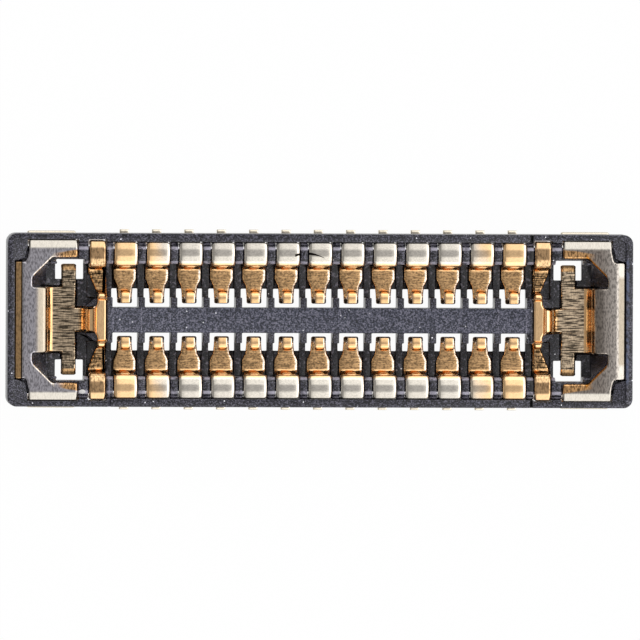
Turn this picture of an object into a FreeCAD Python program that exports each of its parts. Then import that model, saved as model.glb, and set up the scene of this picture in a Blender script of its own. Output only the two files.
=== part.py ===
# Board connector, receptacle half: a moulded housing, two rows of folded spring contacts
# and a folded sheet-metal fitting at each end.
# Millimetres. X runs along the rows, Y across them, Z up from the circuit board, origin at the centre.
import FreeCAD, Part
import os
import Sketcher

os.makedirs("parts", exist_ok=True)
doc = FreeCAD.newDocument("fpc_connector")

# Driving sizes. Those in the first group stand alone: *_outside, *_inside and *_end there are distances
# from the middle planes, *_level and *_bottom heights above the board.
plain_sizes = {
    "pitch": 0.35,
    "contacts_per_row": 13,
    "metal_thickness": 0.06,
    "clearance": 0.01,
    "body_width": 1.87,
    "corner_radius": 0.1,
    "stand_off": 0.03,
    "wall_top": 0.54,
    "floor_level": 0.09,
    "moat_level": 0.13,
    "rib_radius": 0.085,
    "island_outside": 0.135,
    "tooth_width": 0.068,
    "tooth_end": 0.245,
    "slot_end": 0.335,
    "contact_width": 0.252,
    "tail_width": 0.1,
    "bend_radius": 0.025,
    "floor_bend": 0.05,
    "bump_reach": 0.04,
    "bump_width": 0.11,
    "bump_nose": 0.056,
    "bump_bottom": 0.27,
    "taper_start": 0.45,
    "taper_finish": 0.355,
    "spring_width": 0.16,
    "spring_outside": 0.328,
    "spring_tip": 0.1825,
    "waist_bottom": 0.165,
    "waist_top": 0.25,
    "knee_width": 0.1,
    "knee_corner": 0.025,
    "knee_round": 0.014,
    "plate_leg_bottom": 0.25,
    "tongue_half_width": 0.357,
    "tongue_bend": 0.07,
    "relief_height": 0.103,
    "bar_leg_face": 0.6,
    "neck_half_width": 0.13,
    "neck_bend": 0.06,
    "cap_half_width": 0.23,
    "cap_proud": 0.02,
    "strap_reach": 0.067,
    "window_beyond": 0.078,
    "window_margin": 0.055,
    "window_ahead": 0.077,
    "window_behind": 0.064,
    "groove_width": 0.022,
    "groove_depth": 0.05,
}
# From the middle of a row's last contact, towards the end of the housing.
end_sizes = {
    "housing_end": 1.278,
    "plate_outside": 1.193,
    "arm_start": 1.051,
    "arm_end": 0.522,
    "foot_start": 0.96,
    "relief_outside": 1.008,
    "relief_inside": 0.792,
    "tongue_inside": 0.846,
    "bar_outside": 0.76,
    "bar_leg_outside": 0.684,
    "bar_inside": 0.522,
    "neck_outside": 0.43,
    "cap_outside": 0.305,
    "cap_inside": 0.21,
    "strap_outside": 0.395,
    "strap_inside": 0.218,
    "groove_place": 0.178,
}
# From the housing's long side, inwards. What stands out beyond that side has a minus.
side_sizes = {
    "tail_end": -0.037,
    "foot_end": -0.022,
    "arm_outside": 0.073,
    "strap_leg_outside": 0.075,
    "wall_face": 0.088,
    "leg_outside": 0.1,
    "arm_inside": 0.259,
    "plate_half_width": 0.301,
    "leg_inside": 0.328,
    "strap_leg_inside": 0.37,
}
# From the top of the outer walls, down.
top_sizes = {
    "plate_top": 0.01,
    "arch_top": 0.02,
    "rib_top": 0.04,
    "island_top": 0.1,
    "tooth_top": 0.11,
    "bump_top": 0.11,
    "knee_top": 0.12,
    "corner_top": 0.022,
}
driving_sizes = {**plain_sizes, **end_sizes, **side_sizes, **top_sizes}

sheet = doc.addObject("Spreadsheet::Sheet", "Sizes")
for row, (name, number) in enumerate(driving_sizes.items(), start=1):
    sheet.set("A%d" % row, name)
    sheet.set("B%d" % row, "%g" % number)
    sheet.setAlias("B%d" % row, name)
doc.recompute()


# A number that remembers the sheet cells it comes from, so that a constraint can follow them.
class Size:
    def __init__(self, number, formula):
        self.number = number
        self.formula = formula

    def __add__(self, other):
        other = as_size(other)
        return Size(self.number + other.number, "(%s + %s)" % (self.formula, other.formula))

    def __sub__(self, other):
        other = as_size(other)
        return Size(self.number - other.number, "(%s - %s)" % (self.formula, other.formula))

    def __mul__(self, other):
        other = as_size(other)
        return Size(self.number * other.number, "(%s * %s)" % (self.formula, other.formula))

    def __truediv__(self, other):
        other = as_size(other)
        return Size(self.number / other.number, "(%s / %s)" % (self.formula, other.formula))

    def __neg__(self):
        return self * -1


def as_size(value):
    if isinstance(value, Size):
        return value
    return Size(value, "(%g)" % value)


# A driving size, brought to a distance from the middle planes or the board.
def cell(name):
    own = Size(float(sheet.get(name)), "Sizes." + name)
    if name in end_sizes:
        return cell("pitch") * (cell("contacts_per_row") - 1) / 2 + own
    if name in side_sizes:
        return cell("body_width") / 2 - own
    if name in top_sizes:
        return cell("wall_top") - own
    return own


def bind(item, name, value):
    value = as_size(value)
    item.setExpression(name, value.formula)


def new_body(label):
    body = doc.addObject("PartDesign::Body", label)
    body.Label = label
    return body


# An empty sketch on one of the body's own planes, moved along the plane's normal.
def new_sketch(body, plane, name, offset=0):
    sketch = body.newObject("Sketcher::SketchObject", name)
    support = [item for item in body.Origin.OriginFeatures if item.Role == plane][0]
    sketch.AttachmentSupport = [(support, "")]
    sketch.MapMode = "FlatFace"
    bind(sketch, "AttachmentOffset.Base.z", offset)
    return sketch


# A point of an outline. With a radius, the edge that leaves it is an arc, turning left (1) or right (-1).
def point(x, y, radius=None, turn=0):
    return (as_size(x), as_size(y), radius, turn)


def arc_edge(start, end, radius, turn):
    chord = end - start
    middle = (start + end) * 0.5
    left = FreeCAD.Vector(-chord.y, chord.x, 0).normalize()
    reach = max(radius ** 2 - chord.Length ** 2 / 4, 0) ** 0.5
    centre = middle + left * reach * turn
    through = centre + (middle - left * turn - centre).normalize() * radius
    return Part.Arc(start, through, end)


# A closed outline of lines and arcs, every point held by the sheet's values.
def draw_outline(sketch, points):
    places = [FreeCAD.Vector(item[0].number, item[1].number, 0) for item in points]
    edges = []
    for index, (_, _, radius, turn) in enumerate(points):
        end = places[(index + 1) % len(points)]
        if radius is None:
            edges.append(Part.LineSegment(places[index], end))
        else:
            edges.append(arc_edge(places[index], end, radius.number, turn))
    numbers = sketch.addGeometry(edges)
    constraints = []
    values = []
    for index, (x, y, radius, turn) in enumerate(points):
        edge = numbers[index]
        following = (index + 1) % len(points)
        # An arc that turns right is stored the other way round, so its start is its second end.
        first, last = (2, 1) if turn < 0 else (1, 2)
        next_first = 2 if points[following][3] < 0 else 1
        constraints.append(Sketcher.Constraint("Coincident", edge, last, numbers[following], next_first))
        values.append(None)
        constraints.append(Sketcher.Constraint("DistanceX", edge, first, x.number))
        values.append(x)
        constraints.append(Sketcher.Constraint("DistanceY", edge, first, y.number))
        values.append(y)
        if radius is not None:
            constraints.append(Sketcher.Constraint("Radius", edge, radius.number))
            values.append(radius)
    first_place = sketch.ConstraintCount
    sketch.addConstraint(constraints)
    for index, value in enumerate(values):
        if value is not None:
            bind(sketch, "Constraints[%d]" % (first_place + index), value)


# The same outline again for each sign pair, mirrored about the sketch's axes.
def draw_mirrored(sketch, points, signs):
    for along, across in signs:
        flipped = [
            (x * along, y * across, radius, turn * along * across) for x, y, radius, turn in points
        ]
        draw_outline(sketch, flipped)


def rectangle(x_low, x_high, y_low, y_high):
    return [point(x_low, y_low), point(x_high, y_low), point(x_high, y_high), point(x_low, y_high)]


# A sheet-metal strip seen from the side: the corners of its back face, each with an inside bend radius,
# and the other face one thickness to the left (1) or right (-1) of the way it runs.
def folded_strip(corners, radii, thickness, side):
    last = len(corners) - 1
    ways = [way_between(corners[index], corners[index + 1]) for index in range(last)]
    back = [point(corners[0][0], corners[0][1])]
    front = [point(*shifted(corners[0], ways[0], ways[0], thickness, side, single=True))]
    for index in range(1, last):
        before, after = ways[index - 1], ways[index]
        turn = before[0] * after[1] - before[1] * after[0]
        inside = as_size(radii[index - 1])
        outside = inside + thickness
        back_radius, front_radius = (inside, outside) if turn != side else (outside, inside)
        back += bend(corners[index], before, after, back_radius, turn)
        front_corner = shifted(corners[index], before, after, thickness, side)
        front += bend(front_corner, before, after, front_radius, turn)
    back.append(point(corners[last][0], corners[last][1]))
    front.append(point(*shifted(corners[last], ways[-1], ways[-1], thickness, side, single=True)))
    return back + reverse(front)


def way_between(start, end):
    across = as_size(end[0]).number - as_size(start[0]).number
    along = as_size(end[1]).number - as_size(start[1]).number
    if abs(across) > abs(along):
        return (1 if across > 0 else -1, 0)
    return (0, 1 if along > 0 else -1)


def shifted(corner, before, after, thickness, side, single=False):
    x, y = as_size(corner[0]), as_size(corner[1])
    for way in [before] if single else [before, after]:
        x = x + thickness * (-way[1] * side)
        y = y + thickness * (way[0] * side)
    return (x, y)


def bend(corner, before, after, radius, turn):
    x, y = as_size(corner[0]), as_size(corner[1])
    return [
        point(x - radius * before[0], y - radius * before[1], radius, turn),
        point(x + radius * after[0], y + radius * after[1]),
    ]


def reverse(points):
    turned = []
    for index in range(len(points) - 1, -1, -1):
        x, y = points[index][0], points[index][1]
        radius, turn = points[index - 1][2:] if index > 0 else (None, 0)
        turned.append((x, y, radius, -turn))
    return turned


def pad(body, sketch, name, length, symmetric=False):
    feature = body.newObject("PartDesign::Pad", name)
    feature.Profile = sketch
    if symmetric:
        feature.SideType = "Symmetric"
    bind(feature, "Length", length)
    return feature


# A cut that runs up from its sketch, or both ways from it.
def pocket(body, sketch, name, length, symmetric=False):
    feature = body.newObject("PartDesign::Pocket", name)
    feature.Profile = sketch
    if symmetric:
        feature.SideType = "Symmetric"
    else:
        feature.Reversed = True
    bind(feature, "Length", length)
    cuts.append(feature)
    return feature


# The features again along X, one after another at a given distance.
def row_of(body, features, name, count, spacing):
    doc.recompute()
    pattern = body.newObject("PartDesign::LinearPattern", name)
    pattern.Originals = features
    x_axis = [item for item in body.Origin.OriginFeatures if item.Role == "X_Axis"][0]
    pattern.Direction = (x_axis, [""])
    bind(pattern, "Length", spacing * (count - 1))
    bind(pattern, "Occurrences", count)
    body.Tip = pattern


cuts = []
both_sides = [(1, 1), (1, -1)]
both_flanks = [(1, 1), (-1, 1)]
four_corners = [(1, 1), (1, -1), (-1, -1), (-1, 1)]

pitch = cell("pitch")
count = cell("contacts_per_row")
metal = cell("metal_thickness")
gap = cell("clearance")
above_all = cell("wall_top") + 0.1
first_contact = -pitch * (count - 1) / 2
cap_top = cell("island_top") + cell("cap_proud")
strap_rise = cell("cap_half_width") + cell("strap_reach")
relief_corner = cell("tongue_half_width") + cell("relief_height")
window_end = cell("bar_leg_face") + cell("window_margin")
window_start = cell("tongue_half_width") + cell("window_beyond")
window_ahead = cell("window_ahead")
window_behind = cell("window_behind")


# The contact's side view: from the solder tail over the arch and through the moat in square bends,
# then up a leaning spring leg, whose top is folded back towards the island.
def contact_side_view():
    leg_back = cell("leg_outside") - metal
    arch_back = cell("arch_top") - metal
    inner_back = cell("leg_inside") + metal
    small = cell("bend_radius")
    corners = [
        (cell("tail_end"), 0),
        (leg_back, 0),
        (leg_back, arch_back),
        (inner_back, arch_back),
        (inner_back, cell("floor_level")),
        (cell("spring_outside"), cell("floor_level")),
    ]
    radii = [small, small, small, cell("floor_bend")]
    strip = folded_strip(corners, radii, metal, -1)
    middle = len(strip) // 2
    return strip[:middle - 1] + leaning_spring(small) + strip[middle + 1:]


# The leg leans 3 across for 4 up. Both bends are tangent to it: the foot's centre follows from the nose's.
def leaning_spring(small):
    across, upward = 0.6, 0.8
    large = small + metal
    floor_top = cell("floor_level") + metal
    under_knee = cell("knee_top") - metal
    nose_y = cell("spring_outside") - large
    nose_z = under_knee - small
    foot_z = floor_top + small
    foot_y = nose_y - ((nose_z - foot_z) * across - small - large) / upward
    tip = cell("spring_tip")
    return [
        point(foot_y, cell("floor_level"), large, -1),
        point(foot_y - large * upward, foot_z + large * across),
        point(nose_y + small * upward, nose_z - small * across, small, 1),
        point(nose_y, under_knee),
        point(tip, under_knee),
        point(tip, cell("knee_top")),
        point(nose_y, cell("knee_top"), large, -1),
        point(nose_y + large * upward, nose_z - large * across),
        point(foot_y - small * upward, foot_z + small * across, small, 1),
        point(foot_y, floor_top),
    ]


# One side of the flat blank's plan view: what is cut off to narrow the strip towards the spring.
def contact_taper():
    wide = cell("contact_width") / 2
    narrow = cell("spring_width") / 2
    start = cell("taper_start")
    finish = cell("taper_finish")
    reach = wide - narrow
    run = start - finish
    radius = (reach * reach + run * run) / (reach * 4)
    beyond = wide + 0.02
    return [
        point(wide, start, radius, -1),
        point((wide + narrow) / 2, (start + finish) / 2, radius, 1),
        point(narrow, finish),
        point(narrow, cell("spring_tip") - 0.02),
        point(beyond, cell("spring_tip") - 0.02),
        point(beyond, start),
    ]


def add_contact_bump(body):
    face = cell("leg_inside")
    reach = cell("bump_reach")
    half = (cell("bump_top") - cell("bump_bottom")) / 2
    radius = (half * half + reach * reach) / (reach * 2)
    sketch = new_sketch(body, "YZ_Plane", "BumpSide")
    root = face + metal / 2
    tip_height = (cell("bump_top") + cell("bump_bottom")) / 2
    draw_outline(sketch, [
        point(root, cell("bump_bottom")),
        point(root, cell("bump_top")),
        point(face, cell("bump_top"), radius, 1),
        point(face - reach, tip_height, radius, 1),
        point(face, cell("bump_bottom")),
    ])
    pad(body, sketch, "Bump", cell("bump_width"), symmetric=True)
    corners = new_sketch(body, "XY_Plane", "BumpCorners", cell("bump_bottom") - 0.01)
    nose = cell("bump_nose") / 2
    wide = cell("bump_width") / 2
    draw_mirrored(corners, [
        point(wide, face),
        point(nose, face - reach - 0.002),
        point(wide + 0.01, face - reach - 0.002),
        point(wide + 0.01, face),
    ], both_flanks)
    pocket(body, corners, "BumpNose", half * 2 + 0.02)


# The spring narrows to the knee above the floor, and the knee's long edges and front corners are rounded.
def cut_contact_knee(body):
    wide = cell("spring_width") / 2
    narrow = cell("knee_width") / 2
    edge = cell("knee_round")
    corner = cell("knee_corner")
    top = cell("knee_top")
    front = cell("spring_outside")
    middle = (front + cell("spring_tip")) / 2
    section = new_sketch(body, "XZ_Plane", "KneeSection", -middle)
    draw_mirrored(section, [
        point(wide, cell("waist_bottom")),
        point(narrow, cell("waist_top")),
        point(narrow, top - edge, edge, 1),
        point(narrow - edge, top),
        point(narrow - edge, above_all),
        point(wide + 0.02, above_all),
        point(wide + 0.02, cell("waist_bottom")),
    ], both_flanks)
    pocket(body, section, "KneeSides", front - cell("spring_tip") + 0.04, symmetric=True)
    plan = new_sketch(body, "XY_Plane", "KneeCorners", cell("waist_bottom"))
    draw_mirrored(plan, [
        point(narrow - corner, front, corner, -1),
        point(narrow, front - corner),
        point(wide + 0.01, front - corner),
        point(wide + 0.01, front + 0.01),
        point(narrow - corner, front + 0.01),
    ], both_flanks)
    pocket(body, plan, "KneeFront", above_all)


def make_contact_form():
    body = new_body("contact_form")
    side = new_sketch(body, "YZ_Plane", "SideView")
    draw_outline(side, contact_side_view())
    pad(body, side, "Strip", cell("contact_width"), symmetric=True)
    taper = new_sketch(body, "XY_Plane", "Taper")
    draw_mirrored(taper, contact_taper(), both_flanks)
    pocket(body, taper, "SpringSides", above_all * 2, symmetric=True)
    tail = new_sketch(body, "XY_Plane", "TailPlan")
    wide = cell("contact_width") / 2
    beyond = cell("tail_end") + 0.01
    sides = rectangle(cell("tail_width") / 2, wide + 0.01, cell("leg_outside") + 0.002, beyond)
    draw_mirrored(tail, sides, both_flanks)
    pocket(body, tail, "TailSides", above_all * 2, symmetric=True)
    add_contact_bump(body)
    cut_contact_knee(body)
    return body


# One more piece of the same form, turned half round for the other side or end.
def copy_of(form, label, turned):
    body = new_body(label)
    body.newObject("PartDesign::FeatureBase", "Copy").BaseFeature = form
    if turned:
        body.Placement.Rotation = FreeCAD.Rotation(FreeCAD.Vector(0, 0, 1), 180)
    return body


# The left fitting. Its sheet runs from the outer edge over the end of the housing, down the tongue,
# along the moat floor, up the neck to the cap on the island, and from there out over both long walls.
def add_plate(body):
    underside = cell("plate_top") - metal
    outer_back = -cell("plate_outside") + metal
    edge = new_sketch(body, "XZ_Plane", "OuterEdge")
    corners = [
        (outer_back, cell("plate_leg_bottom")),
        (outer_back, underside),
        (-cell("arm_start"), underside),
    ]
    draw_outline(edge, folded_strip(corners, [cell("bend_radius")], metal, 1))
    pad(body, edge, "OuterBend", cell("plate_half_width") * 2, symmetric=True)
    plan = new_sketch(body, "XY_Plane", "PlatePlan", underside)
    corner = cell("bend_radius")
    half = [
        point(outer_back, cell("plate_half_width")),
        point(-cell("arm_start") - 0.02, cell("plate_half_width") + 0.03),
        point(-cell("arm_start"), cell("arm_outside") - metal - corner),
        point(-cell("arm_end"), cell("arm_outside") - metal - corner),
        point(-cell("arm_end"), cell("arm_inside") + corner, corner, -1),
        point(-cell("arm_end") - corner, cell("arm_inside")),
        point(-cell("relief_inside"), cell("arm_inside") - 0.003),
        point(-cell("relief_outside") + 0.02, relief_corner + 0.02, cell("floor_bend"), 1),
        point(-cell("relief_outside"), relief_corner - 0.025),
        point(-cell("relief_outside"), cell("tongue_half_width") + corner, corner, 1),
        point(-cell("relief_outside") + corner, cell("tongue_half_width")),
    ]
    draw_outline(plan, half + mirrored_across(half))
    pad(body, plan, "Plate", metal)


# The second half of an outline that is the same on both sides of the X axis.
def mirrored_across(half):
    return [(x, -y, radius, turn) for x, y, radius, turn in reverse_same_turn(half)]


def reverse_same_turn(points):
    return [(x, y, radius, -turn) for x, y, radius, turn in reverse(points)]


def add_tongue(body):
    back = -cell("tongue_inside") - metal
    underside = cell("plate_top") - metal
    tongue = new_sketch(body, "XZ_Plane", "TongueSide")
    corners = [
        (-cell("relief_outside"), underside),
        (back, underside),
        (back, cell("floor_level")),
        (-cell("bar_outside") + 0.03, cell("floor_level")),
    ]
    draw_outline(tongue, folded_strip(corners, [cell("tongue_bend"), cell("floor_bend")], metal, 1))
    pad(body, tongue, "Tongue", cell("tongue_half_width") * 2, symmetric=True)
    bar = new_sketch(body, "XY_Plane", "BarPlan", cell("floor_level"))
    leg_back = cell("bar_leg_face") - metal
    half = [
        point(-cell("bar_outside"), cell("tongue_half_width")),
        point(-cell("bar_leg_outside"), cell("tongue_half_width")),
        point(-cell("bar_leg_outside"), leg_back - cell("bend_radius")),
        point(-cell("bar_inside"), leg_back - cell("bend_radius")),
    ]
    draw_outline(bar, half + mirrored_across(half))
    pad(body, bar, "Bar", metal)
    middle = -(cell("bar_leg_outside") + cell("bar_inside")) / 2
    legs = new_sketch(body, "YZ_Plane", "BarLegs", middle)
    corners = [
        (leg_back - cell("bend_radius") - 0.02, cell("floor_level")),
        (leg_back, cell("floor_level")),
        (leg_back, 0),
    ]
    draw_mirrored(legs, folded_strip(corners, [cell("bend_radius")], metal, 1), both_flanks)
    pad(body, legs, "BarLeg", cell("bar_leg_outside") - cell("bar_inside"), symmetric=True)


def add_neck_and_cap(body):
    back = -cell("neck_outside") + metal
    underside = cap_top - metal
    neck = new_sketch(body, "XZ_Plane", "NeckSide")
    corners = [
        (-cell("bar_inside") - 0.02, cell("floor_level")),
        (back, cell("floor_level")),
        (back, underside),
        (-cell("cap_outside"), underside),
    ]
    draw_outline(neck, folded_strip(corners, [cell("neck_bend"), cell("neck_bend")], metal, 1))
    pad(body, neck, "Neck", cell("neck_half_width") * 2, symmetric=True)
    plan = new_sketch(body, "XY_Plane", "CapPlan", underside)
    half = [
        point(-cell("cap_outside") - 0.025, cell("neck_half_width")),
        point(-cell("cap_outside"), cell("cap_half_width") - 0.05),
        point(-cell("cap_outside"), cell("cap_half_width")),
        point(-cell("cap_inside"), cell("cap_half_width")),
    ]
    draw_outline(plan, half + mirrored_across(half))
    pad(body, plan, "Cap", metal)


# The straps that run from the cap down the island's sides, through the moat and over the long walls.
def add_straps(body):
    arch_back = cell("arch_top") - metal
    rise_back = strap_rise - metal
    strap_start = rise_back - 0.022
    corners = [
        (strap_start, cap_top - metal),
        (rise_back, cap_top - metal),
        (rise_back, cell("floor_level")),
        (cell("strap_leg_inside") + metal, cell("floor_level")),
        (cell("strap_leg_inside") + metal, arch_back),
        (cell("strap_leg_outside") - metal, arch_back),
        (cell("strap_leg_outside") - metal, cell("stand_off")),
    ]
    small = cell("bend_radius")
    radii = [0.01, small, cell("floor_bend"), small, small]
    middle = -(cell("strap_outside") + cell("strap_inside")) / 2
    sketch = new_sketch(body, "YZ_Plane", "StrapSide", middle)
    draw_mirrored(sketch, folded_strip(corners, [as_size(item) for item in radii], metal, 1), both_flanks)
    pad(body, sketch, "Strap", cell("strap_outside") - cell("strap_inside"), symmetric=True)
    trim = new_sketch(body, "XY_Plane", "StrapTrim")
    beyond = -cell("strap_outside") - 0.01
    draw_mirrored(trim, [
        point(beyond, strap_start - 0.005),
        point(-cell("cap_outside"), strap_start - 0.005),
        point(-cell("cap_outside"), strap_rise + 0.005),
        point(-cell("strap_outside"), cell("strap_leg_inside") - cell("floor_bend")),
        point(beyond, cell("strap_leg_inside") - cell("floor_bend")),
    ], both_sides)
    pocket(body, trim, "StrapNarrow", above_all * 2, symmetric=True)


def add_arms(body):
    back = cell("arm_outside") - metal
    underside = cell("plate_top") - metal
    small = cell("bend_radius")
    corners = [(back - small - 0.02, underside), (back, underside), (back, 0), (cell("foot_end"), 0)]
    middle = -(cell("arm_start") + cell("arm_end")) / 2
    sketch = new_sketch(body, "YZ_Plane", "ArmSide", middle)
    draw_mirrored(sketch, folded_strip(corners, [small, small], metal, 1), both_flanks)
    pad(body, sketch, "Arm", cell("arm_start") - cell("arm_end"), symmetric=True)
    foot = new_sketch(body, "XY_Plane", "FootPlan")
    side = rectangle(
        -cell("arm_start") - 0.01, -cell("foot_start"), cell("arm_outside") + 0.002, cell("foot_end") + 0.01
    )
    draw_mirrored(foot, side, both_sides)
    pocket(body, foot, "FootSides", above_all * 2, symmetric=True)


def make_fitting_form():
    body = new_body("end_fitting_form")
    add_plate(body)
    add_tongue(body)
    add_neck_and_cap(body)
    add_straps(body)
    add_arms(body)
    return body


def add_block(body):
    long_half = cell("housing_end")
    wide_half = cell("body_width") / 2
    corner = cell("corner_radius")
    plan = new_sketch(body, "XY_Plane", "BlockPlan", cell("stand_off"))
    draw_outline(plan, [
        point(-long_half + corner, -wide_half),
        point(long_half - corner, -wide_half, corner, 1),
        point(long_half, -wide_half + corner),
        point(long_half, wide_half - corner, corner, 1),
        point(long_half - corner, wide_half),
        point(-long_half + corner, wide_half, corner, 1),
        point(-long_half, wide_half - corner),
        point(-long_half, -wide_half + corner, corner, 1),
    ])
    pad(body, plan, "Block", cell("wall_top") - cell("stand_off"))


# The ring-shaped moat that takes the mating half, with the island left standing inside it.
def cut_moat(body):
    moat_end = cell("tongue_inside")
    inside = cell("leg_inside")
    top = new_sketch(body, "XY_Plane", "IslandTopPlan", cell("island_top"))
    draw_outline(top, rectangle(-moat_end, moat_end, -inside, inside))
    pocket(body, top, "IslandTop", above_all)
    ring = new_sketch(body, "XY_Plane", "MoatPlan", cell("moat_level"))
    draw_outline(ring, rectangle(-moat_end, moat_end, -inside, inside))
    shoulder = pitch * count / 2
    narrow = cell("island_outside")
    wide = cell("cap_half_width")
    nose = cell("neck_outside") + gap
    nose_half = cell("neck_half_width") + gap
    half = [
        point(-nose, nose_half),
        point(-cell("cap_outside") - 0.03, wide),
        point(-shoulder, wide),
        point(-shoulder, narrow),
        point(shoulder, narrow),
        point(shoulder, wide),
        point(cell("cap_outside") + 0.03, wide),
        point(nose, nose_half),
    ]
    draw_outline(ring, half + mirrored_across(half))
    pocket(body, ring, "Moat", above_all)


# Teeth stand out from the island on both sides, one between each two spring tips.
def add_first_teeth(body):
    tooth = new_sketch(body, "XY_Plane", "ToothPlan", cell("floor_level"))
    place = first_contact - pitch / 2
    half = cell("tooth_width") / 2
    bar = rectangle(place - half, place + half, cell("island_outside") - 0.01, cell("tooth_end"))
    draw_mirrored(tooth, bar, both_sides)
    return pad(body, tooth, "Tooth", cell("tooth_top") - cell("floor_level"))


# Rounded ribs stand between the contact arches, lower than the outer walls.
def cut_ribs(body):
    wall_face = cell("wall_face")
    radius = cell("rib_radius")
    top = cell("rib_top")
    inside = cell("leg_inside")
    side = new_sketch(body, "YZ_Plane", "RibSide")
    draw_mirrored(side, [
        point(inside - 0.01, above_all),
        point(inside - 0.01, top - radius),
        point(inside, top - radius, radius, -1),
        point(inside + radius, top),
        point(wall_face - radius, top, radius, -1),
        point(wall_face, top - radius),
        point(wall_face, above_all),
    ], both_flanks)
    pocket(body, side, "Ribs", cell("arm_end") * 2, symmetric=True)


# A cut for the first contact of both rows, all the way up unless a height is given.
def cut_first(body, name, points, bottom, height=None):
    sketch = new_sketch(body, "XY_Plane", name + "Plan", bottom)
    placed = [(x + first_contact, y, radius, turn) for x, y, radius, turn in points]
    draw_mirrored(sketch, placed, both_sides)
    return pocket(body, sketch, name, height or above_all * 2)


def cut_first_slots(body):
    half = cell("contact_width") / 2 + gap
    wall_face = cell("leg_outside") + gap
    core_outside = cell("leg_outside") - metal - gap
    core_inside = cell("leg_inside") + metal + gap
    core_top = cell("arch_top") - metal - gap
    inside = cell("leg_inside") - 0.02
    beyond = cell("body_width") / 2 + 0.1
    window = (pitch - cell("tooth_width")) / 2
    tail_half = cell("tail_width") / 2 + gap
    arch = rectangle(-half, half, inside, wall_face)
    leg = rectangle(-half, half, core_outside, wall_face)
    floor = rectangle(-half, half, cell("slot_end") - 0.01, core_inside)
    hole = rectangle(-window, window, cell("island_outside"), cell("slot_end"))
    notch = rectangle(-tail_half, tail_half, core_outside, beyond)
    return [
        cut_first(body, "ArchSlot", arch, core_top),
        cut_first(body, "LegSlot", leg, -0.1),
        cut_first(body, "FloorSlot", floor, cell("floor_level")),
        cut_first(body, "FloorHole", hole, -0.1),
        cut_first(body, "TailNotch", notch, 0, metal + gap),
    ]


def cut_ends(body, name, points, bottom, signs=None):
    sketch = new_sketch(body, "XY_Plane", name + "Plan", bottom)
    draw_mirrored(sketch, points, signs or four_corners)
    pocket(body, sketch, name, above_all * 2)


# The room for a fitting at each end, cut step by step from the top.
def cut_fitting_room(body):
    under_plate = cell("plate_top") - metal - gap
    wall_face = cell("arm_outside") + gap
    outer = cell("plate_outside") + gap
    arm_start = cell("arm_start") + gap
    arm_end = cell("arm_end") - gap
    tongue_back = cell("tongue_inside") + metal + gap
    half = cell("plate_half_width") + gap
    plate = rectangle(cell("tongue_inside") - 0.03, outer, -half, half)
    cut_ends(body, "PlateRoom", plate, under_plate, both_flanks)
    arm = [
        point(arm_end, half - 0.01),
        point(outer, half - 0.01),
        point(arm_start + 0.03, half + 0.03),
        point(arm_start, cell("arm_outside") - metal),
        point(arm_start, wall_face),
        point(arm_end, wall_face),
    ]
    cut_ends(body, "ArmRoom", arm, under_plate)
    leg_inside = cell("plate_outside") - metal - gap
    edge = rectangle(leg_inside, outer, -half, half)
    cut_ends(body, "OuterLegSlot", edge, cell("plate_leg_bottom") - gap, both_flanks)
    arm_back = cell("arm_outside") - metal - gap
    cut_ends(body, "ArmLegSlot", rectangle(arm_end, arm_start, arm_back, wall_face), -0.1)
    foot = new_sketch(body, "XY_Plane", "FootNotchPlan", 0)
    notch = rectangle(arm_end, cell("foot_start") + gap, arm_back, cell("body_width") / 2 + 0.1)
    draw_mirrored(foot, notch, four_corners)
    pocket(body, foot, "FootNotch", metal + gap)
    tongue_half = cell("tongue_half_width") + gap
    step = cell("tongue_bend") * 0.6
    shoulder = rectangle(cell("tongue_inside"), tongue_back + step, -tongue_half, tongue_half)
    cut_ends(body, "TongueBendRoom", shoulder, under_plate - step, both_flanks)
    neck_half = cell("neck_half_width") + gap
    bar_end = cell("bar_inside") - gap
    tongue = rectangle(bar_end, tongue_back, -tongue_half, tongue_half)
    cut_ends(body, "TongueRoom", tongue, cell("floor_level"), both_flanks)
    neck = rectangle(cell("neck_outside") - metal - gap, bar_end + 0.01, -neck_half, neck_half)
    cut_ends(body, "NeckRoom", neck, cell("floor_level"), both_flanks)
    step = cell("neck_bend") * 0.6
    neck_face = cell("neck_outside") - metal - gap
    nose = rectangle(neck_face - step, neck_face + 0.01, -neck_half, neck_half)
    cut_ends(body, "NeckBendRoom", nose, cap_top - metal - gap - step, both_flanks)
    cap_half = cell("cap_half_width")
    cap = rectangle(cell("cap_inside") - gap, cell("neck_outside") + 0.02, -cap_half, cap_half)
    cut_ends(body, "CapRoom", cap, cap_top - metal - gap, both_flanks)
    window_inside = cell("bar_inside") - window_ahead
    window_outside = cell("bar_leg_outside") + window_behind
    cut_ends(body, "Window", rectangle(window_inside, window_outside, window_start, window_end), -0.1)
    bar = rectangle(bar_end, cell("bar_leg_outside") + gap, tongue_half - 0.01, window_start + 0.01)
    cut_ends(body, "BarRoom", bar, cell("floor_level"))


def cut_strap_room(body):
    inner = cell("strap_inside") - gap
    outer = cell("strap_outside") + gap
    wall_face = cell("strap_leg_outside") + gap
    leg_back = cell("strap_leg_outside") - metal - gap
    inner_back = cell("strap_leg_inside") + metal + gap
    face = cell("strap_leg_inside") - 0.02
    arch = rectangle(inner, outer, face, wall_face)
    cut_ends(body, "StrapArch", arch, cell("arch_top") - metal - gap)
    cut_ends(body, "StrapLeg", rectangle(inner, outer, leg_back, wall_face), -0.1)
    floor = rectangle(inner, outer, strap_rise - metal, inner_back)
    cut_ends(body, "StrapFloor", floor, cell("floor_level"))


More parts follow.
